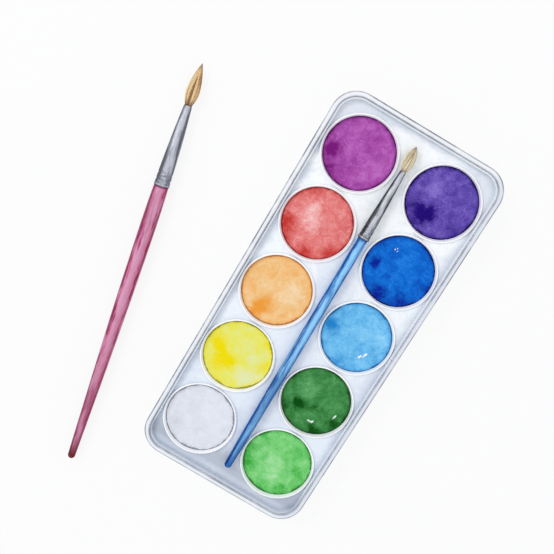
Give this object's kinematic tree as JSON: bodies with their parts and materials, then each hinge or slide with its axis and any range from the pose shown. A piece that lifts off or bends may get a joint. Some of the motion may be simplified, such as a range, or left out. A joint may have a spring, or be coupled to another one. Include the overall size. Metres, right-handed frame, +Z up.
{
  "type": "watercolor cake set",
  "caption": "Shallow rounded tray with a lift-out palette of round paint cakes in pans, a slim round brush on its deck and a larger round brush beside it.",
  "frame": {"origin": "middle of the case's flat underside, on the surface that the set stands on", "axes": "+Z up, +Y along the case towards the magenta and violet cakes, +X across the case towards the violet to light green column"},
  "size_m": [0.1328, 0.2036, 0.0139],
  "materials": {
    "case_plastic": "moulded, soft gloss",
    "insert_plastic": "moulded, soft gloss",
    "pan_plastic": "moulded, soft gloss",
    "magenta_paint": "pressed watercolour cake, mottled, satin",
    "red_paint": "pressed watercolour cake, mottled, satin",
    "orange_paint": "pressed watercolour cake, mottled, satin",
    "yellow_paint": "pressed watercolour cake, mottled, satin",
    "white_paint": "pressed watercolour cake, mottled, satin",
    "violet_paint": "pressed watercolour cake, mottled, satin",
    "ultramarine_paint": "pressed watercolour cake, mottled, satin",
    "sky_blue_paint": "pressed watercolour cake, mottled, satin",
    "dark_green_paint": "pressed watercolour cake, mottled, satin",
    "light_green_paint": "pressed watercolour cake, mottled, satin",
    "blue_lacquer": "lacquered wood, glossy",
    "pink_lacquer": "lacquered wood, glossy",
    "ferrule_metal": "drawn, lightly brushed",
    "hair": "golden fibre, fine strands",
    "glue": "set resin"
  },
  "bodies": {
    "case": {"case_tray": "case_plastic"},
    "insert": {"palette_insert": "insert_plastic"},
    "magenta_well": {"pan_magenta": "pan_plastic", "cake_magenta": "magenta_paint"},
    "red_well": {"pan_red": "pan_plastic", "cake_red": "red_paint"},
    "orange_well": {"pan_orange": "pan_plastic", "cake_orange": "orange_paint"},
    "yellow_well": {"pan_yellow": "pan_plastic", "cake_yellow": "yellow_paint"},
    "white_well": {"pan_white": "pan_plastic", "cake_white": "white_paint"},
    "violet_well": {"pan_violet": "pan_plastic", "cake_violet": "violet_paint"},
    "ultramarine_well": {"pan_ultramarine": "pan_plastic", "cake_ultramarine": "ultramarine_paint"},
    "sky_blue_well": {"pan_sky_blue": "pan_plastic", "cake_sky_blue": "sky_blue_paint"},
    "dark_green_well": {"pan_dark_green": "pan_plastic", "cake_dark_green": "dark_green_paint"},
    "light_green_well": {"pan_light_green": "pan_plastic", "cake_light_green": "light_green_paint"},
    "blue_brush": {"blue_brush_handle": "blue_lacquer", "blue_brush_ferrule": "ferrule_metal", "blue_brush_glue": "glue", "blue_brush_hair": "hair"},
    "pink_brush": {"pink_brush_handle": "pink_lacquer", "pink_brush_ferrule": "ferrule_metal", "pink_brush_glue": "glue", "pink_brush_hair": "hair"}
  },
  "joints": [
    {"name": "insert_lift", "type": "slide", "parent": "case", "child": "insert", "axis": [0, 0, 1], "range_m": [0, 0.03]},
    {"name": "magenta_pan_lift", "type": "slide", "parent": "insert", "child": "magenta_well", "axis": [0, 0, 1], "range_m": [0, 0.025]},
    {"name": "red_pan_lift", "type": "slide", "parent": "insert", "child": "red_well", "axis": [0, 0, 1], "range_m": [0, 0.025]},
    {"name": "orange_pan_lift", "type": "slide", "parent": "insert", "child": "orange_well", "axis": [0, 0, 1], "range_m": [0, 0.025]},
    {"name": "yellow_pan_lift", "type": "slide", "parent": "insert", "child": "yellow_well", "axis": [0, 0, 1], "range_m": [0, 0.025]},
    {"name": "white_pan_lift", "type": "slide", "parent": "insert", "child": "white_well", "axis": [0, 0, 1], "range_m": [0, 0.025]},
    {"name": "violet_pan_lift", "type": "slide", "parent": "insert", "child": "violet_well", "axis": [0, 0, 1], "range_m": [0, 0.025]},
    {"name": "ultramarine_pan_lift", "type": "slide", "parent": "insert", "child": "ultramarine_well", "axis": [0, 0, 1], "range_m": [0, 0.025]},
    {"name": "sky_blue_pan_lift", "type": "slide", "parent": "insert", "child": "sky_blue_well", "axis": [0, 0, 1], "range_m": [0, 0.025]},
    {"name": "dark_green_pan_lift", "type": "slide", "parent": "insert", "child": "dark_green_well", "axis": [0, 0, 1], "range_m": [0, 0.025]},
    {"name": "light_green_pan_lift", "type": "slide", "parent": "insert", "child": "light_green_well", "axis": [0, 0, 1], "range_m": [0, 0.025]},
    {"name": "blue_brush_lift", "type": "slide", "parent": "insert", "child": "blue_brush", "axis": [0, 0, 1], "range_m": [0, 0.03]},
    {"name": "pink_brush_lift", "type": "slide", "parent": "case", "child": "pink_brush", "axis": [0, 0, 1], "range_m": [0, 0.03]}
  ]
}
